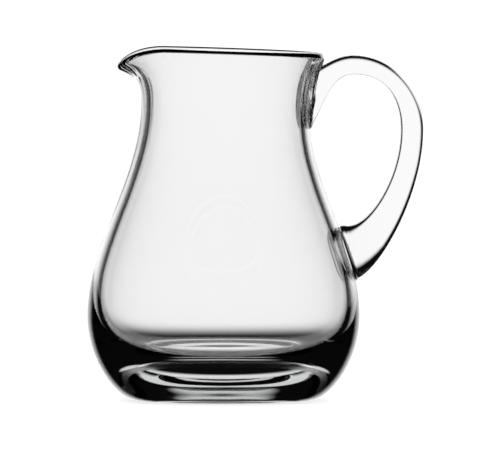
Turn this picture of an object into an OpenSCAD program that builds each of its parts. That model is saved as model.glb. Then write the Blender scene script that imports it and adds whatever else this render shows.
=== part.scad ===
// Clear glass pitcher: a blown bowl with a heavy base and a pulled spout, and an applied glass handle.
// The bowl's axis is Z and its foot stands on Z = 0. The spout points to -X and the handle to +X.

/* [Bowl] */
// Diameter of the foot that the bowl stands on
foot_d = 95.8; // [90:0.2:102]
// Largest diameter of the belly
belly_d = 150; // [146:1:158]
// Height of the belly's widest ring
belly_z = 46.5; // [43:0.5:50]
// Narrowest diameter of the neck
neck_d = 94.6; // [91:0.2:99]
// Height of the neck's narrowest ring
neck_z = 156.5; // [152:0.5:160]
// Diameter over the bead of the rim
rim_d = 109.8; // [106:0.2:114]
// Height of the rim, measured on the axis
rim_z = 192.7; // [191:0.1:198]
// Climb of the rim from the handle to the spout, in degrees
rim_tilt = 2; // [0:0.5:3]
// Slope of the flared wall at the rim, in degrees from level
rim_slope = 62; // [55:1:70]
// Thickness of the blown wall at the belly
wall = 5.7; // [5:0.1:6.5]
// Thickness of the blown wall at the neck
neck_wall = 4.5; // [3.8:0.1:5.2]
// Thickness of the fire-polished bead round the rim
bead_d = 4; // [3.6:0.1:4.6]

/* [Base] */
// Height of the lowest ring of the inside above the foot
base_t = 13.7; // [12:0.1:18]
// Rise of the inside from that ring to the axis
floor_rise = 2.7; // [0:0.1:4]
// Width of the ground ring that the bowl stands on
ring_w = 3.3; // [2:0.1:6]
// Depth of the hollow under the base, inside the ground ring
punt_depth = 4.2; // [2:0.1:6]
// Depth of glass ground off under the foot, so that it stands flat
grind = 0.8; // [0.4:0.1:1.5]

/* [Spout] */
// Reach of the lip from the axis
spout_reach = 57.9; // [56:0.1:62]
// Drop of the lip below the rim
spout_drop = 8.7; // [5:0.1:12]
// Half of the angle that the spout takes out of the rim, in degrees
spout_half = 45; // [36:1:52]
// Slope of the lip, in degrees from level
lip_slope = 22; // [14:1:35]
// Distance from the axis to the throat under the lip
throat_r = 45; // [43:0.5:47]
// Height of the throat under the lip
throat_z = 166.5; // [162:0.5:168]

/* [Handle] */
// Reach of the handle's outside from the axis
grip_reach = 110.1; // [100:0.1:120]
// Height of the handle's outermost point
grip_z = 148.5; // [140:0.5:155]
// Thickness of the strap at its outermost point
grip_t = 12.4; // [10:0.1:14]
// Width of the strap at its outermost point
grip_w = 15; // [12:0.5:18]
// Distance from the axis to the top of the handle's arch
arch_x = 71.3; // [66:0.1:76]
// Height of the top of the handle's arch
arch_z = 189.8; // [186:0.1:194]
// Thickness of the strap at the top of the arch
arch_t = 11.1; // [9:0.1:13]
// Width of the strap at the top of the arch
arch_w = 15.5; // [13:0.5:20]
// Height of the strap's lower edge on the neck
root_low_z = 145.5; // [140:0.5:150]
// Height of the strap's upper edge on the neck
root_high_z = 178; // [174:0.5:181]
// Height of the strap's upper edge on the belly
tail_high_z = 95.7; // [90:0.1:100]
// Height of the strap's lower edge on the belly
tail_low_z = 67.9; // [64:0.1:72]
// Distance from the axis to the strap's upper edge on the belly
tail_high_reach = 66; // [64:0.1:70]
// Distance from the axis to the nose of the strap, at its lower edge on the belly
tail_low_reach = 76; // [75:0.1:80]
// Width of the strap on the belly
tail_w = 18; // [15:0.5:22]
// Depth of the rounding along the strap's outside
edge_outer = 2.6; // [1.5:0.1:3.5]
// Depth of the rounding along the strap's inside
edge_inner = 1.1; // [0.6:0.1:2]
// Depth of the rounding at the strap's nose on the belly
edge_nose = 9; // [5:0.5:10]

/* [Pressed ends] */
// Width of the leaf that is pressed on the neck under the strap
leaf_w = 36; // [28:1:42]
// Height of the leaf's lower end
leaf_low_z = 149.5; // [144:0.5:154]
// Height of the leaf's upper end, measured on the axis
leaf_high_z = 188.3; // [182:0.1:189]
// Thickness of the leaf in its middle
leaf_t = 2; // [1.2:0.1:3]
// Width of the pad that is pressed on the belly under the strap
pad_w = 39; // [30:1:44]
// Height of the pad's upper end
pad_high_z = 94.1; // [90:0.1:98]
// Height of the pad's lower end
pad_low_z = 67.1; // [64:0.1:71]
// Thickness of the pad in its middle
pad_t = 2.6; // [1.6:0.1:4]

/* [Hidden] */

foot_r = foot_d / 2;
belly_r = belly_d / 2;
neck_r = neck_d / 2;
bead_r = bead_d / 2;
overrun = 2 * grind;
punt_r = foot_r - ring_w;
lip_r = rim_d / 2 - bead_r;
lip_z = rim_z - bead_r;

// How far the curves of the bowl stay level or upright, as shares of the spans that they cross
foot_level_share = 0.352;
belly_under_share = 0.552;
belly_over_share = 0.353;
neck_under_share = 0.348;
neck_over_share = 0.415;
rim_straight_share = 0.295;
throat_over_share = 0.677;
lip_straight_share = 0.439;
// Place on the way from the belly to the neck where the wall begins to thicken towards the base
thicken_share = 0.3;
hollow_side_share = 0.838;
hollow_floor_share = 0.841;
// Reach of the rise in the middle of the inside, as a share of the belly's radius
rise_reach_share = 0.6;
// Height at which the tilt of the rim begins, as a share of the rim's height
tilt_from_share = 0.57;
// Roundness of the spout's tip, as a share of the spout's half angle
tip_round_share = 0.08;
// Fullness of the hollow under the base, where 2 is a parabola and 1 a cone
punt_power = 1.46;

// Steps along the bowl's section and round its axis
punt_steps = 5;
foot_steps = 10;
body_steps = 12;
flare_steps = 7;
bead_steps = 6;
hollow_steps = 12;
bowl_sides = 60;
// Sides of the bowl that the handle can reach, on each side of +X
reached_sides = 7;

// How deep both ends of the strap run into the glass of the bowl before they are trimmed to it
root_sink = 2.3;
pad_sink = 8;
// Directions of the strap's two edges where they leave the neck and reach the belly, in degrees from level
root_low_slope = 53;
root_high_slope = 30;
tail_high_slope = -10;
tail_low_slope = 38;
// How far the strap's edges stay straight at each knot, as shares of the spans that they cross
root_low_share = 0.47;
root_high_share = 0.4;
arch_back_low_share = 0.53;
arch_back_high_share = 0.36;
arch_front_low_share = 0.67;
arch_front_high_share = 0.58;
grip_over_low_share = 0.58;
grip_over_high_share = 0.52;
grip_under_low_share = 0.51;
grip_under_high_share = 0.43;
tail_high_share = 0.23;
tail_low_share = 0.2;
// Narrowing of the strap's end inside the bowl, as a share of its height there
pad_end_share = 0.16;
// Roundings of the strap's inside at the root, the arch and the pad, as shares of the one at the grip
root_edge_share = 1.8;
arch_edge_share = 0.7;
pad_edge_share = 5;
// Places on the first and third leg of the strap where the roundings of its ends stop and begin
root_edge_to_share = 0.8;
nose_edge_from_share = 0.3;
// How fast the strap widens and rounds towards the belly
spread_power = 3;
// Squareness of the pressed ends: across and along the leaf, and across and along the pad
leaf_across_power = 2.5;
leaf_along_power = 2.5;
pad_across_power = 2;
pad_along_power = 8;
// How far the pressed ends run past their own edge, and how deep they run into the bowl until they are cut
pat_over_share = 1.12;
pat_sink = 1.2;
pat_back = 4;

// Steps along the strap and round it, and across and along the pressed ends
root_steps = 12;
arch_steps = 9;
tail_steps = 14;
pad_steps = 4;
strap_sides = 20;
pat_across = 14;
pat_along = 12;

// Point and unit direction on a cubic curve of four control points
function curve_at(c, t) =
    pow(1 - t, 3) * c[0] + 3 * pow(1 - t, 2) * t * c[1] + 3 * (1 - t) * t * t * c[2] + pow(t, 3) * c[3];
function way_at(c, t) =
    let (d = pow(1 - t, 2) * (c[1] - c[0]) + 2 * (1 - t) * t * (c[2] - c[1]) + t * t * (c[3] - c[2]))
    d / norm(d);
function right_of(way) = [way[1], -way[0]];
function slope_way(a) = [cos(a), sin(a)];
function points_on(c, steps) = [for (k = [0 : steps - 1]) curve_at(c, k / steps)];

// Curves of the bowl's outside, from the foot to the belly, on to the neck, and out to the rim
belly_over = belly_over_share * (neck_z - belly_z);
neck_under = neck_under_share * (neck_z - belly_z);
foot_curve = [
    [foot_r, 0],
    [foot_r + foot_level_share * (belly_r - foot_r), 0],
    [belly_r, (1 - belly_under_share) * belly_z],
    [belly_r, belly_z]
];
function body_curve(r, z) =
    [[belly_r, belly_z], [belly_r, belly_z + belly_over], [r, z - neck_under], [r, z]];
function flare_curve(r, z, lip, slope, low_share, high_share) =
    let (span = lip[1] - z, edge = lip + bead_r * right_of(slope_way(slope)))
    [[r, z], [r, z + low_share * span], edge - high_share * span * slope_way(slope), edge];

// Inside of the wall, which thins from the belly to the neck and from there to the bead
function wall_at(t) = wall + (neck_wall - wall) * t * t;
function flare_wall_at(t) = neck_wall + (bead_d - neck_wall) * t;
function inside_at(c, t, thick) = curve_at(c, t) - thick * right_of(way_at(c, t));

// Curve of the hollow inside the base, which takes over from the inside of the wall
function hollow_curve(body) =
    let (
        start = inside_at(body, thicken_share, wall_at(thicken_share)),
        side = hollow_side_share * (start[1] - base_t)
    )
    [start, start - side * way_at(body, thicken_share), [hollow_floor_share * start[0], base_t], [0, base_t]];
function risen(p) =
    let (off = min(1, p[0] / (rise_reach_share * belly_r)))
    p + [0, floor_rise * pow(1 - off * off, 2)];

// Outside of the bowl's section, from the axis under the foot to the bead
function outside_points(body, flare) = concat(
    [
        for (k = [0 : punt_steps - 1])
            let (off = k / punt_steps)
            [punt_r * off, punt_depth * (1 - pow(off, punt_power))]
    ],
    [[punt_r, 0], [(punt_r + foot_r) / 2, -grind]],
    points_on(foot_curve, foot_steps),
    points_on(body, body_steps),
    points_on(flare, flare_steps)
);
// Bead round the lip, from the outside of the wall over to its inside
function bead_points(lip, slope) = [
    for (k = [0 : bead_steps])
        let (turn = 180 * k / bead_steps, way = slope_way(slope))
        lip + bead_r * (cos(turn) * right_of(way) + sin(turn) * way)
];
// Inside of the bowl's section, from the bead down to the axis
function inside_points(body, flare) = concat(
    [for (k = [flare_steps - 1 : -1 : 0]) inside_at(flare, k / flare_steps, flare_wall_at(k / flare_steps))],
    [
        for (k = [body_steps - 1 : -1 : 1])
            let (t = thicken_share + (1 - thicken_share) * k / body_steps)
            inside_at(body, t, wall_at(t))
    ],
    [for (p = points_on(hollow_curve(body), hollow_steps)) risen(p)],
    [risen([0, base_t])]
);

plain_lip = [lip_r, lip_z];
plain_body = body_curve(neck_r, neck_z);
plain_flare = flare_curve(neck_r, neck_z, plain_lip, rim_slope, neck_over_share, rim_straight_share);
spout_lip = [spout_reach - bead_r, lip_z - spout_drop];
spout_body = body_curve(throat_r, throat_z);
spout_flare = flare_curve(throat_r, throat_z, spout_lip, lip_slope, throat_over_share, lip_straight_share);

// The whole section of the wall, and the section of a plug that fills the bowl to its outside
plain_wall = concat(
    outside_points(plain_body, plain_flare),
    bead_points(plain_lip, rim_slope),
    inside_points(plain_body, plain_flare)
);
spout_wall = concat(
    outside_points(spout_body, spout_flare),
    bead_points(spout_lip, lip_slope),
    inside_points(spout_body, spout_flare)
);
plain_plug = concat(outside_points(plain_body, plain_flare), bead_points(plain_lip, rim_slope), [[0, lip_z]]);

// How far the section has moved to the spout's at an angle round the axis, outwards and downwards.
// Both are 1 in the middle of the spout. The drop gathers in a narrower tip, as on a lip pulled with a tool.
function spout_off(angle) = min(1, abs(angle - 180) / spout_half);
function outward_part(angle) = pow(cos(90 * spout_off(angle)), 2);
function downward_part(angle) =
    let (
        off = norm([spout_off(angle), tip_round_share]) - tip_round_share,
        most = norm([1, tip_round_share]) - tip_round_share
    )
    pow(1 - off / most, 2);
function tilt_part(z) = pow(max(0, (z - tilt_from_share * rim_z) / (rim_z - tilt_from_share * rim_z)), 2);
function round_point(section, angle) =
    let (x = section[0] * cos(angle))
    [x, section[0] * sin(angle), section[1] - x * tan(rim_tilt) * tilt_part(section[1])];
function bowl_point(plain, spout, angle) =
    let (change = spout - plain)
    round_point(plain + [outward_part(angle) * change[0], downward_part(angle) * change[1]], angle);

// Skin spun round the axis through two sections with as many points, both starting and ending on the axis.
// It runs from one side to another, and less than a whole turn is closed by a flat cut at each end.
module spun(plain, spout, from, to) {
    rings = len(plain) - 2;
    whole = to - from == bowl_sides;
    columns = whole ? to - from : to - from + 1;
    last = columns * rings + 1;
    function at(side, ring) = 1 + ((side - from) % columns) * rings + ring;
    points = concat(
        [[0, 0, plain[0][1]]],
        [
            for (column = [0 : columns - 1])
                for (ring = [1 : rings])
                    bowl_point(plain[ring], spout[ring], 360 * (from + column) / bowl_sides)
        ],
        [[0, 0, plain[rings + 1][1]]]
    );
    cuts = [
        concat([last], [for (ring = [rings - 1 : -1 : 0]) at(from, ring)], [0]),
        concat([0], [for (ring = [0 : rings - 1]) at(to, ring)], [last])
    ];
    faces = concat(
        [for (side = [from : to - 1]) [0, at(side, 0), at(side + 1, 0)]],
        [
            for (side = [from : to - 1])
                for (ring = [0 : rings - 2])
                    each [
                        [at(side, ring), at(side, ring + 1), at(side + 1, ring + 1)],
                        [at(side, ring), at(side + 1, ring + 1), at(side + 1, ring)]
                    ]
        ],
        [for (side = [from : to - 1]) [at(side, rings - 1), last, at(side + 1, rings - 1)]],
        whole ? [] : cuts
    );
    polyhedron(points, faces);
}

// Knots of the strap's lower and upper edge, in the plane of the handle
root_low = [neck_r - root_sink, root_low_z];
root_high = [neck_r - root_sink, root_high_z];
arch_low = [arch_x, arch_z - arch_t];
arch_high = [arch_x, arch_z];
grip_low = [grip_reach - grip_t, grip_z];
grip_high = [grip_reach, grip_z];
tail_rise = tail_high_z - tail_low_z;
tail_high = [tail_high_reach, tail_high_z];
tail_low = [tail_low_reach, tail_low_z];
pad_high = tail_high - [pad_sink, pad_end_share * tail_rise];
pad_low = tail_low - [pad_sink, -pad_end_share * tail_rise];

// A stretch of an edge between two knots, from the way that it leaves to the way that it arrives
function stretch(from, to, out, in) = [from, from + out, to - in, to];
function along(angle, size) = size * slope_way(angle);
low_edge = [
    stretch(root_low, arch_low,
        along(root_low_slope, root_low_share * (arch_low[1] - root_low[1])),
        [arch_back_low_share * (arch_low[0] - root_low[0]), 0]),
    stretch(arch_low, grip_low,
        [arch_front_low_share * (grip_low[0] - arch_low[0]), 0],
        [0, -grip_over_low_share * (arch_low[1] - grip_low[1])]),
    stretch(grip_low, tail_high,
        [0, -grip_under_low_share * (grip_low[1] - tail_high[1])],
        along(180 + tail_high_slope, tail_high_share * (grip_low[1] - tail_high[1]))),
    stretch(tail_high, pad_high,
        along(180 + tail_high_slope, pad_sink / 2),
        along(180 + tail_low_slope, pad_sink / 2))
];
high_edge = [
    stretch(root_high, arch_high,
        along(root_high_slope, root_high_share * (arch_high[0] - root_high[0])),
        [arch_back_high_share * (arch_high[0] - root_high[0]), 0]),
    stretch(arch_high, grip_high,
        [arch_front_high_share * (grip_high[0] - arch_high[0]), 0],
        [0, -grip_over_high_share * (arch_high[1] - grip_high[1])]),
    stretch(grip_high, tail_low,
        [0, -grip_under_high_share * (grip_high[1] - tail_low[1])],
        along(180 + tail_low_slope, tail_low_share * (grip_high[1] - tail_low[1]))),
    stretch(tail_low, pad_low,
        along(180 + tail_low_slope, pad_sink / 2),
        along(180 - tail_low_slope, pad_sink / 2))
];

// Width of the strap and depth of its roundings, on its four legs from the neck to the belly
function grown(t, from) = pow(max(0, (t - from) / (1 - from)), spread_power);
function strap_width(leg, t) =
    leg == 0 ? arch_w
    : leg == 1 ? arch_w + (grip_w - arch_w) * t
    : leg == 2 ? grip_w + (tail_w - grip_w) * grown(t, 0)
    : tail_w;
function outer_edge(leg, t) =
    leg < 2 ? edge_outer
    : leg == 2 ? edge_outer + (edge_nose - edge_outer) * grown(t, nose_edge_from_share)
    : edge_nose;
function inner_edge_share(leg, t) =
    leg == 0 ? arch_edge_share + (root_edge_share - arch_edge_share) * max(0, 1 - t / root_edge_to_share)
    : leg == 1 ? arch_edge_share + (1 - arch_edge_share) * t
    : leg == 2 ? 1 + (pad_edge_share - 1) * grown(t, nose_edge_from_share)
    : pad_edge_share;

// Stations along the strap: low edge, high edge, width, and depth of rounding outside and inside
leg_steps = [root_steps, arch_steps, tail_steps, pad_steps];
function station_at(leg, t) = [
    curve_at(low_edge[leg], t),
    curve_at(high_edge[leg], t),
    strap_width(leg, t),
    outer_edge(leg, t),
    edge_inner * inner_edge_share(leg, t)
];
last_leg = len(leg_steps) - 1;
stations = concat(
    [for (leg = [0 : last_leg]) for (k = [0 : leg_steps[leg] - 1]) station_at(leg, k / leg_steps[leg])],
    [station_at(last_leg, 1)]
);
// Section of the strap: two flat sides, closed by half an ellipse along its outside and its inside
edge_count = strap_sides / 2;
function strap_point(station, side) =
    let (
        inside = side >= edge_count,
        angle = 180 * ((inside ? side - edge_count : side) / (edge_count - 1) + (inside ? 1 : 0)) - 90,
        chord = station[1] - station[0],
        depth = inside ? station[4] : station[3],
        flat = (norm(chord) / 2 - depth) * (inside ? -1 : 1),
        section = (station[0] + station[1]) / 2 + (flat + depth * cos(angle)) * chord / norm(chord)
    )
    [section[0], station[2] / 2 * sin(angle), section[1]];

// Strap of hot glass, swept through its stations
module strap() {
    count = len(stations);
    function at(station, side) = station * strap_sides + side % strap_sides;
    points = [for (station = stations) for (side = [0 : strap_sides - 1]) strap_point(station, side)];
    faces = concat(
        [[for (side = [strap_sides - 1 : -1 : 0]) at(0, side)]],
        [
            for (k = [0 : count - 2])
                for (side = [0 : strap_sides - 1])
                    each [
                        [at(k, side), at(k, side + 1), at(k + 1, side + 1)],
                        [at(k, side), at(k + 1, side + 1), at(k + 1, side)]
                    ]
        ],
        [[for (side = [0 : strap_sides - 1]) at(count - 1, side)]]
    );
    polyhedron(points, faces);
}

// Radius of the bowl's outside by height, under the handle
skin_points = concat(points_on(plain_body, body_steps), points_on(plain_flare, flare_steps));
skin_radii = [for (p = skin_points) [p[1], p[0]]];

// Pat of hot glass pressed on the bowl, domed outwards and sunk below the skin all round its edge
module pat(width, low, high, thick, across_power, along_power) {
    loop = 2 * pat_across;
    ends = loop * (pat_along + 1);
    function at(row, column) = row * loop + column % loop;
    function swell(aside, rise) =
        let (dome = 1 - pow(abs(aside), across_power) - pow(abs(rise), along_power))
        dome > 0 ? thick * sqrt(dome) : max(-pat_sink, dome * thick);
    function pat_point(aside, rise, lift) =
        let (z = low + (high - low) * (1 + rise) / 2, r = lookup(z, skin_radii))
        round_point([r + lift, z], asin(aside * width / 2 / r));
    function rise_of(row) = pat_over_share * (2 * row / pat_along - 1);
    points = concat(
        [
            for (row = [0 : pat_along])
                for (column = [0 : loop - 1])
                    let (
                        front = column <= pat_across,
                        aside = pat_over_share * (1 - 2 * abs(column / pat_across - 1)),
                        rise = rise_of(row)
                    )
                    pat_point(aside, rise, front ? swell(aside, rise) : -pat_back)
        ],
        [for (row = [0, pat_along]) pat_point(0, rise_of(row), -pat_back / 2)]
    );
    faces = concat(
        [for (column = [0 : loop - 1]) [ends, at(0, column), at(0, column + 1)]],
        [
            for (row = [0 : pat_along - 1])
                for (column = [0 : loop - 1])
                    each [
                        [at(row, column), at(row + 1, column), at(row + 1, column + 1)],
                        [at(row, column), at(row + 1, column + 1), at(row, column + 1)]
                    ]
        ],
        [for (column = [0 : loop - 1]) [ends + 1, at(pat_along, column + 1), at(pat_along, column)]]
    );
    polyhedron(points, faces);
}

// Blown bowl with its heavy base, flared rim and pulled spout
module bowl() {
    color([0.9, 0.92, 0.92, 0.45])
        difference() {
            spun(plain_wall, spout_wall, 0, bowl_sides);
            translate([-belly_r, -belly_r, -overrun]) cube([belly_d, belly_d, overrun]);
        }
}

// Applied handle, trimmed where it is fused to the outside of the bowl
module handle() {
    color([0.86, 0.89, 0.9, 0.55])
        difference() {
            union() {
                strap();
                pat(leaf_w, leaf_low_z, leaf_high_z, leaf_t, leaf_across_power, leaf_along_power);
                pat(pad_w, pad_low_z, pad_high_z, pad_t, pad_across_power, pad_along_power);
            }
            spun(plain_plug, plain_plug, -reached_sides, reached_sides);
        }
}

bowl();
handle();
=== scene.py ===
import bmesh
import bpy
import math
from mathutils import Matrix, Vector


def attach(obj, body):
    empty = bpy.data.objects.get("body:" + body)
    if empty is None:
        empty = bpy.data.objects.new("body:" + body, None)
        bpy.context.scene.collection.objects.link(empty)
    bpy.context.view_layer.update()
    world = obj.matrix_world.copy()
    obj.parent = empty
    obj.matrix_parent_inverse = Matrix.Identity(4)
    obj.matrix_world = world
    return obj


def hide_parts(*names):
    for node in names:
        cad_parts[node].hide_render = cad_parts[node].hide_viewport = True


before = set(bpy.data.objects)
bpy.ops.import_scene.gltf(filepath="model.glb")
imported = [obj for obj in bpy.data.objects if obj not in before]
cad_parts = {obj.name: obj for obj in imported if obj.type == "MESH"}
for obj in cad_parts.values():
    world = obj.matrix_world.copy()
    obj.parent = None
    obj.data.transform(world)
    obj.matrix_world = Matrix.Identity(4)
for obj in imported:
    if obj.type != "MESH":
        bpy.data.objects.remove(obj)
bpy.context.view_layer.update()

# Bowl: one gather of clear soda glass, blown into a pear shape with an even wall and a heavy base.
# Its rim is flared and fire-polished to a bead, its lip is pulled down into a spout while hot,
# and a shallow hollow is ground under it, so that it stands on a narrow ring.
mm = 0.001


class Wire:
    """A socket of a node tree. Operators on wires and numbers add Math or Vector Math nodes to the tree."""

    def __init__(self, tree, socket):
        self.tree = tree
        self.socket = socket

    def node(self, kind, settings, feeds, outlet=0):
        made = self.tree.nodes.new(kind)
        for name, value in settings.items():
            setattr(made, name, value)
        for name, value in feeds.items():
            for feed in value if isinstance(value, list) else [value]:
                if isinstance(feed, Wire):
                    self.tree.links.new(feed.socket, made.inputs[name])
                else:
                    made.inputs[name].default_value = feed
        return Wire(self.tree, made.outputs[outlet] if made.outputs else None)

    def outlet(self, name):
        return Wire(self.tree, self.socket.node.outputs[name])

    def math(self, operation, *others):
        return self.node("ShaderNodeMath", {"operation": operation}, dict(enumerate((self,) + others)))

    def join(self, operation, other):
        kinds = [wire.socket.type for wire in (self, other) if isinstance(wire, Wire)]
        if "VECTOR" not in kinds:
            return self.math(operation, other)
        if operation == "MULTIPLY":
            return self.node("ShaderNodeVectorMath", {"operation": "SCALE"}, {0: self, "Scale": other})
        return self.node("ShaderNodeVectorMath", {"operation": operation}, {0: self, 1: other})

    def __add__(self, other):
        return self.join("ADD", other)

    def __sub__(self, other):
        return self.join("SUBTRACT", other)

    def __mul__(self, other):
        return self.join("MULTIPLY", other)

    def __truediv__(self, other):
        return self.math("DIVIDE", other)

    def __pow__(self, other):
        return self.math("POWER", other)

    def __rsub__(self, other):
        return self * -1 + other

    __radd__ = __add__
    __rmul__ = __mul__


def new_tree(name, inputs):
    """A geometry tree with one result, and its inputs as wires by name."""
    tree = bpy.data.node_groups.new(name, "GeometryNodeTree")
    tree.interface.new_socket("Result", in_out="OUTPUT", socket_type="NodeSocketGeometry")
    for label, kind in inputs.items():
        tree.interface.new_socket(label, in_out="INPUT", socket_type="NodeSocket" + kind)
    entry = tree.nodes.new("NodeGroupInput")
    return tree, {label: Wire(tree, entry.outputs[label]) for label in inputs}


def grown(name, tree, values, merge=0.001 * mm, triangles=False):
    """A plain mesh object from a geometry tree with its inputs set."""
    holder = bpy.data.objects.new(name, bpy.data.meshes.new(name))
    bpy.context.scene.collection.objects.link(holder)
    modifier = holder.modifiers.new("shape", "NODES")
    modifier.node_group = tree
    for item in tree.interface.items_tree:
        if item.in_out == "INPUT" and item.name in values:
            modifier[item.identifier] = values[item.name]
    depsgraph = bpy.context.evaluated_depsgraph_get()
    shape = bpy.data.meshes.new_from_object(holder.evaluated_get(depsgraph))
    holder.modifiers.remove(modifier)
    holder.data = shape
    shape.name = name
    work = bmesh.new()
    work.from_mesh(shape)
    bmesh.ops.remove_doubles(work, verts=work.verts, dist=merge)
    if triangles:
        bmesh.ops.triangulate(work, faces=work.faces)
    bmesh.ops.recalc_face_normals(work, faces=work.faces)
    work.to_mesh(shape)
    work.free()
    return holder


bowl_tree, size = new_tree("blown bowl", {
    "Foot radius": "Float", "Belly radius": "Float", "Belly height": "Float",
    "Neck radius": "Float", "Neck height": "Float", "Lip radius": "Float", "Lip height": "Float",
    "Lip slope": "Float", "Neck upright": "Float", "Lip straight": "Float",
    "Bead radius": "Float", "Wall": "Float", "Neck wall": "Float",
    "Base thickness": "Float", "Hollow side": "Float", "Hollow floor": "Float",
    "Floor rise": "Float", "Rise reach": "Float", "Punt radius": "Float", "Punt depth": "Float",
    "Throat radius": "Float", "Throat height": "Float", "Spout radius": "Float", "Spout height": "Float",
    "Spout slope": "Float", "Spout half angle": "Float", "Throat wall": "Float", "Spout bead radius": "Float",
    "Throat upright": "Float", "Spout straight": "Float",
    "Pull power": "Float", "Dip power": "Float", "Tip round": "Float",
    "Rim tilt": "Float", "Tilt from": "Float", "Tilt to": "Float",
    "Filled": "Bool", "Shrink": "Float", "Glass": "Material",
})
bowl_sides = 224
foot_steps, body_steps, flare_steps, bead_steps, punt_steps, hollow_steps = 44, 64, 44, 9, 20, 60
ring_steps, ring_handle = 3, 0.5 * mm
thicken_step = 19
quarter_round = 0.5523
foot_low_share, foot_high_share = 0.352, 0.552
body_low_share, body_high_share = 0.353, 0.348
punt_power = 1.46
near = 0.002 * mm


def spot(r, z):
    return size["Wall"].node("ShaderNodeCombineXYZ", {}, {0: r, 1: z})


def stroke(start, start_handle, end_handle, end, steps):
    return size["Wall"].node(
        "GeometryNodeCurvePrimitiveBezierSegment", {"mode": "POSITION"},
        {"Resolution": steps, "Start": start, "Start Handle": start_handle,
         "End Handle": end_handle, "End": end})


def dotted(line, lift=None):
    """The points of a stroke, lifted by a height that can follow their reach from the axis."""
    dots = line.node("GeometryNodeCurveToPoints", {"mode": "EVALUATED"}, {0: line})
    if lift is None:
        return dots
    return dots.node("GeometryNodeSetPosition", {}, {"Geometry": dots, "Offset": spot(0.0, lift)})


def strung(dots):
    """The points of strokes laid end to end, with the doubled knots merged."""
    line = dots[0].node("GeometryNodeJoinGeometry", {}, {0: dots[::-1]})
    return line.node("GeometryNodeMergeByDistance", {}, {0: line, "Distance": near})


def bowl_section(neck_r, neck_z, lip_r, lip_z, slope, low_straight, high_straight, neck_wall, bead):
    """Points of the wall's section, from the axis under the foot round the lip to the axis inside."""
    foot_r, belly_r, belly_z = size["Foot radius"], size["Belly radius"], size["Belly height"]
    wall, base = size["Wall"], size["Base thickness"]
    along = spot(slope.math("COSINE"), slope.math("SINE"))
    right = spot(slope.math("SINE"), slope.math("COSINE") * -1)
    lip = spot(lip_r, lip_z)
    edge = lip + right * bead
    tip = lip + along * bead
    edge_in = lip - right * bead
    bend = bead * quarter_round
    rise = neck_z - belly_z
    position = wall.node("GeometryNodeInputPosition", {}, {})
    reach = position.node("ShaderNodeSeparateXYZ", {}, {0: position})
    punt_r = size["Punt radius"]
    under = stroke(spot(0.0, 0.0), spot(punt_r / 3, 0.0),
                   spot(punt_r * (2 / 3), 0.0), spot(punt_r, 0.0), punt_steps)
    under = dotted(under, size["Punt depth"] * (1 - (reach / punt_r) ** punt_power))
    ring = stroke(spot(punt_r, 0.0), spot(punt_r + ring_handle, 0.0),
                  spot(foot_r - ring_handle, 0.0), spot(foot_r, 0.0), ring_steps)
    foot = stroke(spot(foot_r, 0.0), spot(foot_r + foot_low_share * (belly_r - foot_r), 0.0),
                  spot(belly_r, belly_z * (1 - foot_high_share)), spot(belly_r, belly_z), foot_steps)
    body = stroke(spot(belly_r, belly_z), spot(belly_r, belly_z + rise * body_low_share),
                  spot(neck_r, neck_z - rise * body_high_share), spot(neck_r, neck_z), body_steps)
    flare = stroke(spot(neck_r, neck_z), spot(neck_r, neck_z + low_straight),
                   edge - along * high_straight, edge, flare_steps)
    bead_out = stroke(edge, edge + along * bend, tip + right * bend, tip, bead_steps)
    bead_in = stroke(tip, tip - right * bend, edge_in + along * bend, edge_in, bead_steps)
    skin = [under] + [dotted(line) for line in (ring, foot, body, flare, bead_out, bead_in)]
    plain = wall.node("GeometryNodePointsToCurves", {}, {0: strung([dotted(body), dotted(flare)])})
    tangent = wall.node("GeometryNodeInputTangent", {}, {})
    turned = tangent.node(
        "ShaderNodeVectorRotate", {"rotation_type": "Z_AXIS"}, {0: tangent, "Angle": math.pi / 2})
    index = wall.node("GeometryNodeInputIndex", {}, {})
    up_body = (index / body_steps).math("MINIMUM", 1.0)
    up_flare = ((index - body_steps) / flare_steps).math("MAXIMUM", 0.0)
    thick = wall + (neck_wall - wall) * up_body ** 2 + (bead * 2 - neck_wall) * up_flare
    inside = plain.node("GeometryNodeSetPosition", {}, {"Geometry": plain, "Offset": turned * thick})
    spare = index.math("LESS_THAN", thicken_step).math(
        "MAXIMUM", index.math("GREATER_THAN", body_steps + flare_steps - 0.5))
    inside = inside.node("GeometryNodeDeleteGeometry", {"domain": "POINT"}, {0: inside, 1: spare})
    inside = inside.node("GeometryNodeReverseCurve", {}, {0: inside})
    foot_in = inside.node(
        "GeometryNodeSampleCurve", {"mode": "FACTOR"}, {"Curves": inside, "Factor": 1.0}, "Position")
    hollow = stroke(foot_in, foot_in + foot_in.outlet("Tangent") * size["Hollow side"],
                    spot(size["Hollow floor"], base), spot(0.0, base), hollow_steps)
    cover = stroke(edge_in, edge_in, spot(0.0, lip_z), spot(0.0, lip_z), 1)
    off = (reach / size["Rise reach"]).math("MINIMUM", 1.0)
    hollow = dotted(hollow, size["Floor rise"] * (1 - off * off) ** 2)
    whole, filled = strung(skin + [dotted(inside), hollow]), strung(skin + [dotted(cover)])
    return whole.node("GeometryNodeSwitch", {"input_type": "GEOMETRY"},
                      {"Switch": size["Filled"], "False": whole, "True": filled})


plain_points = bowl_section(
    size["Neck radius"], size["Neck height"], size["Lip radius"], size["Lip height"],
    size["Lip slope"], size["Neck upright"], size["Lip straight"], size["Neck wall"], size["Bead radius"])
spout_points = bowl_section(
    size["Throat radius"], size["Throat height"], size["Spout radius"], size["Spout height"],
    size["Spout slope"], size["Throat upright"], size["Spout straight"],
    size["Throat wall"], size["Spout bead radius"])

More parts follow.
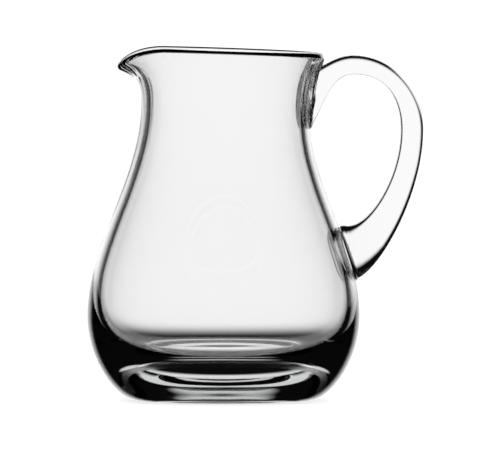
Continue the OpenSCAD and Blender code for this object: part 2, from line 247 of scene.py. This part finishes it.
# The section turns round the axis, and eases into the spout's section in front.
rings = plain_points.node(
    "GeometryNodeAttributeDomainSize", {"component": "POINTCLOUD"}, {0: plain_points}, "Point Count")
sheet = rings.node("GeometryNodeMeshGrid", {}, {"Vertices X": rings, "Vertices Y": bowl_sides + 1})
index = rings.node("GeometryNodeInputIndex", {}, {})
ring = (index / (bowl_sides + 1)).math("FLOOR")
turn = (index - ring * (bowl_sides + 1)) * (2 * math.pi / bowl_sides)
position = rings.node("GeometryNodeInputPosition", {}, {})
sampled = [
    rings.node("GeometryNodeSampleIndex", {"data_type": "FLOAT_VECTOR", "domain": "POINT"},
               {"Geometry": dots, "Value": position, "Index": ring})
    for dots in (plain_points, spout_points)
]
off = (turn - math.pi).math("ABSOLUTE") / size["Spout half angle"]
off = off.math("MINIMUM", 1.0)
tip_round = size["Tip round"]
most = (tip_round * tip_round + 1) ** 0.5 - tip_round
towards_tip = 1 - ((off * off + tip_round * tip_round) ** 0.5 - tip_round) / most
pulled, dipped = towards_tip ** size["Pull power"], towards_tip ** size["Dip power"]
pull = off.node("ShaderNodeCombineXYZ", {}, {0: pulled, 1: dipped})
change = off.node("ShaderNodeVectorMath", {"operation": "MULTIPLY"}, {0: sampled[1] - sampled[0], 1: pull})
point = sampled[0] + change
parts = point.node("ShaderNodeSeparateXYZ", {}, {0: point})
radius, height = parts, parts.outlet("Y")
across = radius * turn.math("COSINE")
tilted = ((height - size["Tilt from"]) / (size["Tilt to"] - size["Tilt from"])).math("MAXIMUM", 0.0) ** 2
place = radius.node("ShaderNodeCombineXYZ", {}, {
    0: across, 1: radius * turn.math("SINE"), 2: height - across * tilted * size["Rim tilt"].math("TANGENT")})
skin = sheet.node("GeometryNodeSetPosition", {}, {"Geometry": sheet, "Position": place})
skin = skin.node("GeometryNodeMergeByDistance", {}, {0: skin, "Distance": near})
normal = skin.node("GeometryNodeInputNormal", {}, {})
skin = skin.node("GeometryNodeSetPosition", {}, {"Geometry": skin, "Offset": normal * (size["Shrink"] * -1)})
skin = skin.node("GeometryNodeSetShadeSmooth", {}, {0: skin})
skin = skin.node("GeometryNodeRealizeInstances", {}, {0: skin})
skin = skin.node("GeometryNodeSetMaterial", {}, {0: skin, "Material": size["Glass"]})
leave = bowl_tree.nodes.new("NodeGroupOutput")
bowl_tree.links.new(skin.socket, leave.inputs[0])
glass_index, ground_roughness = 1.52, 0.35
glass_tint, glass_density = (0.868, 0.873, 0.870, 1.0), 32.0


def clear_glass(name, wave_size, wave_height, ground_to):
    """Clear glass with the faint waves of hand work, frosted below a height where it is ground flat."""
    glass = bpy.data.materials.new(name)
    glass.use_nodes = True
    shader = glass.node_tree.nodes["Principled BSDF"]
    shader.inputs["Base Color"].default_value = (1.0, 1.0, 1.0, 1.0)
    shader.inputs["IOR"].default_value = glass_index
    shader.inputs["Transmission Weight"].default_value = 1.0
    here = Wire(glass.node_tree, None).node("ShaderNodeTexCoord", {}, {}, "Object")
    waves = here.node("ShaderNodeTexNoise", {}, {"Vector": here, "Scale": 1 / wave_size, "Detail": 1.0})
    bump = waves.node("ShaderNodeBump", {}, {"Height": waves, "Strength": 1.0, "Distance": wave_height})
    height = here.node("ShaderNodeSeparateXYZ", {}, {0: here}).outlet("Z")
    frost = height.math("LESS_THAN", ground_to) * ground_roughness
    glass.node_tree.links.new(bump.socket, shader.inputs["Normal"])
    glass.node_tree.links.new(frost.socket, shader.inputs["Roughness"])
    body = here.node("ShaderNodeVolumeAbsorption", {}, {"Color": glass_tint, "Density": glass_density})
    leave = glass.node_tree.nodes["Material Output"]
    glass.node_tree.links.new(body.socket, leave.inputs["Volume"])
    return glass


bowl_glass = clear_glass("bowl_glass", wave_size=34.0 * mm, wave_height=0.05 * mm, ground_to=0.02 * mm)
bowl_sizes = {
    "Foot radius": 48.7 * mm, "Belly radius": 75.0 * mm, "Belly height": 46.1 * mm,
    "Neck radius": 47.3 * mm, "Neck height": 156.5 * mm, "Lip radius": 52.9 * mm, "Lip height": 190.7 * mm,
    "Lip slope": math.radians(62), "Neck upright": 14.2 * mm, "Lip straight": 10.1 * mm,
    "Bead radius": 2.0 * mm, "Wall": 5.8 * mm, "Neck wall": 4.6 * mm,
    "Base thickness": 13.6 * mm, "Hollow side": 53.2 * mm, "Hollow floor": 54.1 * mm,
    "Floor rise": 2.85 * mm, "Rise reach": 47.1 * mm, "Punt radius": 44.4 * mm, "Punt depth": 3.4 * mm,
    "Throat radius": 45.1 * mm, "Throat height": 164.8 * mm,
    "Spout radius": 56.0 * mm, "Spout height": 182.0 * mm,
    "Spout slope": math.radians(20.4), "Spout half angle": math.radians(53.1),
    "Throat wall": 4.82 * mm, "Spout bead radius": 2.43 * mm,
    "Throat upright": 7.5 * mm, "Spout straight": 11.6 * mm,
    "Pull power": 2.68, "Dip power": 1.68, "Tip round": 0.02,
    "Rim tilt": math.radians(2), "Tilt from": 110.0 * mm, "Tilt to": 193.3 * mm,
    "Filled": False, "Shrink": 0.0, "Glass": bowl_glass,
}
bowl = grown("bowl", bowl_tree, bowl_sizes)
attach(bowl, "root")
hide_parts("bowl")

# Handle: a second gather of the same glass, drawn out into a flat strap and bent over while soft.
# Its upper end is crimped on the neck as a leaf, and its tail is pressed on the belly as a pad.
# It is trimmed to a plug, the bowl filled up and a little smaller, so that it is fused into the wall.
contact = 0.4 * mm
plug = grown("plug", bowl_tree, dict(bowl_sizes, **{"Filled": True, "Shrink": contact}))
handle_tree, size = new_tree("applied handle", {
    "Arch width": "Float", "Grip width": "Float", "Tail width": "Float", "Root flare": "Float",
    "Outer edge": "Float", "Nose edge": "Float", "Root inner edge": "Float", "Arch inner edge": "Float",
    "Grip inner edge": "Float", "Pad inner edge": "Float", "Outer fullness": "Float",
    "Arch fullness": "Float", "Grip fullness": "Float",
    "Leaf width": "Float", "Leaf height": "Float", "Leaf middle": "Float", "Leaf thickness": "Float",
    "Leaf ridge": "Float",
    "Pad width": "Float", "Pad height": "Float", "Pad middle": "Float", "Pad thickness": "Float",
    "Plug": "Object", "Glass": "Material",
})
start = size["Plug"]
leg_steps, edge_points = 22, 18
tail_high_way, tail_low_way = 168, 208


def slope_way(degrees, reach):
    return Vector((math.cos(math.radians(degrees)), 0.0, math.sin(math.radians(degrees)))) * reach


root_low, root_high = Vector((45.0, 0, 145.5)), Vector((45.0, 0, 178.0))
arch_low, arch_high = Vector((71.3, 0, 179.0)), Vector((71.3, 0, 189.4))
grip_low, grip_high = Vector((97.7, 0, 148.5)), Vector((110.1, 0, 148.5))
tail_high, tail_low = Vector((66.9, 0, 95.7)), Vector((74.8, 0, 66.8))
pad_high, pad_low = Vector((59.2, 0, 90.7)), Vector((66.0, 0, 73.4))
# A leg of an edge line: its start, the ways it leaves and arrives, and its end, in millimetres.
low_legs = [
    (root_low, slope_way(53, 15.8), slope_way(0, 13.9), arch_low),
    (arch_low, slope_way(0, 17.7), slope_way(-90, 17.8), grip_low),
    (grip_low, slope_way(-90, 27.1), slope_way(tail_high_way, 12.8), tail_high),
    (tail_high, slope_way(tail_high_way, 3.25), slope_way(217, 3.25), pad_high),
]
high_legs = [
    (root_high, slope_way(30, 10.5), slope_way(0, 9.5), arch_high),
    (arch_high, slope_way(0, 22.3), slope_way(-90, 21.1), grip_high),
    (grip_high, slope_way(-90, 34.7), slope_way(tail_low_way, 15.0), tail_low),
    (tail_low, slope_way(tail_low_way, 4.0), slope_way(140, 4.5), pad_low),
]


def edge_dots(legs):
    return strung([
        dotted(start.node("GeometryNodeCurvePrimitiveBezierSegment", {"mode": "POSITION"}, {
            "Resolution": leg_steps, "Start": a * mm, "Start Handle": (a + out) * mm,
            "End Handle": (b - into) * mm, "End": b * mm}))
        for a, out, into, b in legs
    ])


stations = 4 * leg_steps
columns = 2 * edge_points
sheet = start.node("GeometryNodeMeshGrid", {}, {"Vertices X": stations + 3, "Vertices Y": columns + 1})
index = start.node("GeometryNodeInputIndex", {}, {})
position = start.node("GeometryNodeInputPosition", {}, {})
row = (index / (columns + 1)).math("FLOOR")
column = (index - row * (columns + 1)).math("MODULO", columns)
station = (row - 1).math("MAXIMUM", 0.0).math("MINIMUM", stations)
shut = (row - 0.5).math("GREATER_THAN", 0.0) * (row - (stations + 1.5)).math("LESS_THAN", 0.0)
way = station / leg_steps
low, high = [
    start.node("GeometryNodeSampleIndex", {"data_type": "FLOAT_VECTOR", "domain": "POINT"},
               {"Geometry": edge_dots(legs), "Value": position, "Index": station})
    for legs in (low_legs, high_legs)
]


def eased(value, begin, end, power):
    """0 before begin, 1 after end, and a power curve between them."""
    return ((value - begin) * (1 / (end - begin))).math("MAXIMUM", 0.0).math("MINIMUM", 1.0) ** power


# Places along the strap are counted in legs from its root.
at_root, at_arch, at_grip, at_tail = 0, 1, 2, 3
root_to, round_from, nose_from, pad_from = 0.8, 2.2, 2.3, 2.4
flare_power, tail_power, nose_power, pad_power, round_out_power, round_in_power = 9, 3.0, 3.4, 3.1, 0.5, 5.1
to_grip, to_tail = eased(way, at_arch, at_grip, 1.0), eased(way, at_grip, at_tail, tail_power)
width = (size["Arch width"] + (size["Grip width"] - size["Arch width"]) * to_grip
         + (size["Tail width"] - size["Grip width"]) * to_tail
         + size["Root flare"] * (1 - eased(way, at_root, at_arch, 1.0)) ** flare_power)
to_nose = eased(way, nose_from, at_tail, nose_power)
outer = size["Outer edge"] + (size["Nose edge"] - size["Outer edge"]) * to_nose
by_root = 1 - eased(way, at_root, root_to, 1.0)
inner = (size["Arch inner edge"] + (size["Root inner edge"] - size["Arch inner edge"]) * by_root
         + (size["Grip inner edge"] - size["Arch inner edge"]) * to_grip
         + (size["Pad inner edge"] - size["Grip inner edge"]) * eased(way, pad_from, at_tail, pad_power))
is_low = column.math("GREATER_THAN", edge_points - 0.5)
angle = ((column - is_low * edge_points) * (math.pi / (edge_points - 1)) + is_low * math.pi) - math.pi / 2
chord = high - low
length = chord.node("ShaderNodeVectorMath", {"operation": "LENGTH"}, {0: chord}, "Value")
outer = outer.math("MINIMUM", length - inner)
edge = outer + (inner - outer) * is_low
full_out = size["Outer fullness"] + (1 - size["Outer fullness"]) * eased(
    way, round_from, at_tail, round_out_power)
full_in = size["Arch fullness"] + (size["Grip fullness"] - size["Arch fullness"]) * to_grip
full_in = full_in + (1 - full_in) * eased(way, round_from, at_tail, round_in_power)
full = full_out + (full_in - full_out) * is_low
round_edge = angle.math("SINE")
round_edge = round_edge.math("SIGN") * round_edge.math("ABSOLUTE") ** full
along = ((length * 0.5 - edge) * (1 - is_low * 2) + edge * angle.math("COSINE")) * shut
middle = (low + high) * 0.5
offset = chord.node("ShaderNodeVectorMath", {"operation": "NORMALIZE"}, {0: chord}) * along
aside = start.node("ShaderNodeCombineXYZ", {}, {1: width * 0.5 * round_edge * shut})
strap = sheet.node("GeometryNodeSetPosition", {}, {"Geometry": sheet, "Position": middle + offset + aside})
strap = strap.node("GeometryNodeMergeByDistance", {}, {0: strap, "Distance": near})
bowl_skin = start.node(
    "GeometryNodeObjectInfo", {"transform_space": "ORIGINAL"}, {0: size["Plug"]}, "Geometry")
pat_across, pat_up = 84, 46
pat_over, pat_sink, pat_depth = 1.12, 1.2 * mm, 4.0 * mm
pat_drop = 3 * pat_sink
fold_width, fold_lean = 2.8 * mm, 0.11
ray_from, ray_length = 0.3, 1.0
leaf_powers, pad_powers = (3.6, 2.1), (2.2, 3.0)


def pressed(width, height, middle, thickness, ridge, side_power, end_power):
    """A pat of glass pressed on the bowl's skin: a swelling sheet over it, and a back inside the wall."""
    sheet = start.node(
        "GeometryNodeMeshGrid", {}, {"Vertices X": pat_up + 3, "Vertices Y": 2 * pat_across + 1})
    index = start.node("GeometryNodeInputIndex", {}, {})
    row = (index / (2 * pat_across + 1)).math("FLOOR")
    column = (index - row * (2 * pat_across + 1)).math("MODULO", 2 * pat_across)
    open_row = (row - 0.5).math("GREATER_THAN", 0.0) * (row - (pat_up + 1.5)).math("LESS_THAN", 0.0)
    back = column.math("GREATER_THAN", pat_across + 0.5)
    aside = 2 * pat_over * ((column / pat_across - 1).math("ABSOLUTE") - 0.5)
    rise = 2 * pat_over * ((row - 1).math("MAXIMUM", 0.0).math("MINIMUM", pat_up) / pat_up - 0.5)
    y = aside * width * 0.5 * open_row
    z = middle + rise * height * 0.5
    hit = start.node("GeometryNodeRaycast", {}, {
        "Target Geometry": bowl_skin, "Ray Length": ray_length, "Ray Direction": (-1.0, 0.0, 0.0),
        "Source Position": start.node("ShaderNodeCombineXYZ", {}, {0: ray_from, 1: y, 2: z})}, "Hit Position")
    x = hit.node("ShaderNodeSeparateXYZ", {}, {0: hit})
    dome = 1 - aside.math("ABSOLUTE") ** side_power - rise.math("ABSOLUTE") ** end_power
    full = dome.math("MAXIMUM", 0.0) ** 0.5
    folds = ((y + (z - middle) * fold_lean) * (2 * math.pi / fold_width)).math("SINE")
    swell = thickness * full + ridge * folds * full + dome.math("MINIMUM", 0.0) * pat_drop
    swell = swell.math("MAXIMUM", -pat_sink)
    lift = swell * (1 - back) - (back + 1 - open_row).math("MINIMUM", 1.0) * pat_depth + contact
    place = start.node("ShaderNodeCombineXYZ", {}, {0: x + lift, 1: y, 2: z})
    pat = sheet.node("GeometryNodeSetPosition", {}, {"Geometry": sheet, "Position": place})
    return pat.node("GeometryNodeMergeByDistance", {}, {0: pat, "Distance": near})


leaf = pressed(size["Leaf width"], size["Leaf height"], size["Leaf middle"], size["Leaf thickness"],
               size["Leaf ridge"], *leaf_powers)
pad = pressed(size["Pad width"], size["Pad height"], size["Pad middle"], size["Pad thickness"],
              0.0, *pad_powers)
fused = strap.node(
    "GeometryNodeMeshBoolean", {"operation": "UNION", "solver": "MANIFOLD"}, {1: [strap, leaf, pad]})
fused = fused.node(
    "GeometryNodeMeshBoolean", {"operation": "DIFFERENCE", "solver": "MANIFOLD"}, {0: fused, 1: bowl_skin})
fused = fused.node("GeometryNodeSetShadeSmooth", {}, {0: fused})
fused = fused.node("GeometryNodeRealizeInstances", {}, {0: fused})
fused = fused.node("GeometryNodeSetMaterial", {}, {0: fused, "Material": size["Glass"]})
leave = handle_tree.nodes.new("NodeGroupOutput")
handle_tree.links.new(fused.socket, leave.inputs[0])

handle_glass = clear_glass("handle_glass", wave_size=18.0 * mm, wave_height=0.05 * mm, ground_to=0.0)
crease = math.radians(40)
handle = grown("handle", handle_tree, {
    "Arch width": 15.5 * mm, "Grip width": 15.0 * mm, "Tail width": 22.8 * mm, "Root flare": 1.3 * mm,
    "Outer edge": 5.0 * mm, "Nose edge": 21.5 * mm, "Root inner edge": 1.0 * mm, "Arch inner edge": 1.6 * mm,
    "Grip inner edge": 3.6 * mm, "Pad inner edge": 8.8 * mm,
    "Outer fullness": 0.62, "Arch fullness": 0.1, "Grip fullness": 0.2,
    "Leaf width": 29.0 * mm, "Leaf height": 37.9 * mm, "Leaf middle": 168.6 * mm, "Leaf thickness": 1.0 * mm,
    "Leaf ridge": 1.0 * mm,
    "Pad width": 34.0 * mm, "Pad height": 27.6 * mm, "Pad middle": 79.4 * mm, "Pad thickness": 1.4 * mm,
    "Plug": plug, "Glass": handle_glass,
}, merge=0.1 * mm, triangles=True)
handle.data.set_sharp_from_angle(angle=crease)
bpy.data.objects.remove(plug)
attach(handle, "root")
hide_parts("handle")

# Floor: a plain white table top that glows evenly, so bright that it runs into the background as in a cut-out
# product shot, with a painted contact shadow: its glow is dimmer in a soft ring round the foot. Rays that
# pass through the glass or are mirrored in it do not see it.
floor_mesh = bpy.data.meshes.new("floor")
floor_reach, floor_drop = 4.0, 0.3 * mm
# The grey is the floor's base colour; the other three set the painted contact shadow: its dimmest glow, and
# the distances from the middle over which it fades to full white.
floor_grey, painted_shadow_light, painted_shadow_from, painted_shadow_to = 0.2, 0.72, 40 * mm, 80 * mm
floor_mesh.from_pydata(
    [(x * floor_reach, y * floor_reach, -floor_drop) for x, y in ((-1, -1), (1, -1), (1, 1), (-1, 1))],
    [], [(0, 1, 2, 3)])
floor = bpy.data.objects.new("floor", floor_mesh)
bpy.context.scene.collection.objects.link(floor)
white_top = bpy.data.materials.new("white_top")
white_top.use_nodes = True
shader = white_top.node_tree.nodes["Principled BSDF"]
shader.inputs["Base Color"].default_value = (floor_grey, floor_grey, floor_grey, 1.0)
shader.inputs["Emission Strength"].default_value = 1.0
here = Wire(white_top.node_tree, None).node("ShaderNodeTexCoord", {}, {}, "Object")
away = here.node("ShaderNodeVectorMath", {"operation": "LENGTH"}, {0: here}, "Value")
# Painted contact shadow: the floor's glow is dimmed near the foot and brightens to full white farther out.
shade = away.node("ShaderNodeMapRange", {"interpolation_type": "SMOOTHERSTEP"}, {
    "Value": away, "From Min": painted_shadow_from, "From Max": painted_shadow_to, "To Min": painted_shadow_light, "To Max": 1.0})
white_top.node_tree.links.new(shade.socket, shader.inputs["Emission Color"])
floor_mesh.materials.append(white_top)
floor.visible_transmission = False
floor.visible_glossy = False

# Light: a soft white panel stands behind the glass and the rest of the studio is dark, so that the
# glass shows light through its faces and dark along its edges.
studio = bpy.data.worlds.new("studio")
bpy.context.scene.world = studio
studio.use_nodes = True
studio.node_tree.nodes.clear()
sky = Wire(studio.node_tree, None)
look = sky.node("ShaderNodeTexCoord", {}, {}, "Generated")
turned_by = 2.5
panel_light, dark_light = 1.11, 0.004
panel_half, panel_edge, side_edge = 25.5, 8.5, 7.0
# Three side lights serve the views from other sides: their bearing, climb and half width, in degrees.
side_lights = ((-45.0, -27.0, 15.0), (135.0, -16.0, 16.0), (-90.0, -2.0, 20.0))


def fade(value, begin, end):
    return value.node("ShaderNodeMapRange", {"interpolation_type": "SMOOTHSTEP"}, {
        "Value": value, "From Min": begin, "From Max": end, "To Min": 0.0, "To Max": 1.0})


def soft_light(bearing, climb, half, edge):
    """A round soft light as seen from the glass: its middle's bearing from +Y and its climb, in degrees."""
    level = math.cos(math.radians(climb))
    aside, ahead = math.sin(math.radians(bearing)), math.cos(math.radians(bearing))
    middle = (level * aside, level * ahead, math.sin(math.radians(climb)))
    near_middle = look.node(
        "ShaderNodeVectorMath", {"operation": "DOT_PRODUCT"}, {0: look, 1: middle}, "Value")
    return fade(near_middle, math.cos(math.radians(half + edge)), math.cos(math.radians(half - edge)))


# Rays that were mirrored on their way do not see the side lights, which keeps the edges dark.
path = sky.node("ShaderNodeLightPath", {}, {}, "Is Camera Ray")
unreflected = path.outlet("Glossy Depth").math("LESS_THAN", 0.5)
glow_sum = soft_light(turned_by, 0.0, panel_half, panel_edge)
for bearing, climb, half in side_lights:
    glow_sum = glow_sum.math("MAXIMUM", soft_light(bearing, climb, half, side_edge) * unreflected)
strength = (glow_sum * (panel_light - dark_light) + dark_light).math("MAXIMUM", path)
glow = sky.node("ShaderNodeBackground", {}, {"Color": (1.0, 1.0, 1.0, 1.0), "Strength": strength})
glow.node("ShaderNodeOutputWorld", {}, {"Surface": glow})

# Camera: a long lens far off, which looks down by about two degrees and is turned a little about the
# upright axis, as in the photograph.
camera = bpy.data.objects.new("camera", bpy.data.cameras.new("camera"))
bpy.context.scene.collection.objects.link(camera)
bpy.context.scene.camera = camera
camera_away, camera_up, frame_width = 6.0, 0.315, 0.275
target_aside, target_up = 0.0146, 0.096
sight = Vector((math.sin(math.radians(turned_by)), math.cos(math.radians(turned_by)), 0.0))
target = Vector((sight.y, -sight.x, 0.0)) * target_aside + Vector((0.0, 0.0, target_up))
camera.location = target - sight * camera_away + Vector((0.0, 0.0, camera_up - target.z))
camera.rotation_euler = (target - camera.location).to_track_quat("-Z", "Y").to_euler()
camera.data.sensor_width = 36.0
camera.data.lens = camera.data.sensor_width * camera_away / frame_width
camera.data.clip_end = 50.0

# Light crosses many faces of glass before it leaves the jug.
scene = bpy.context.scene
scene.view_settings.view_transform = "Standard"
scene.cycles.max_bounces = 24
scene.cycles.transmission_bounces = 24
scene.cycles.glossy_bounces = 12
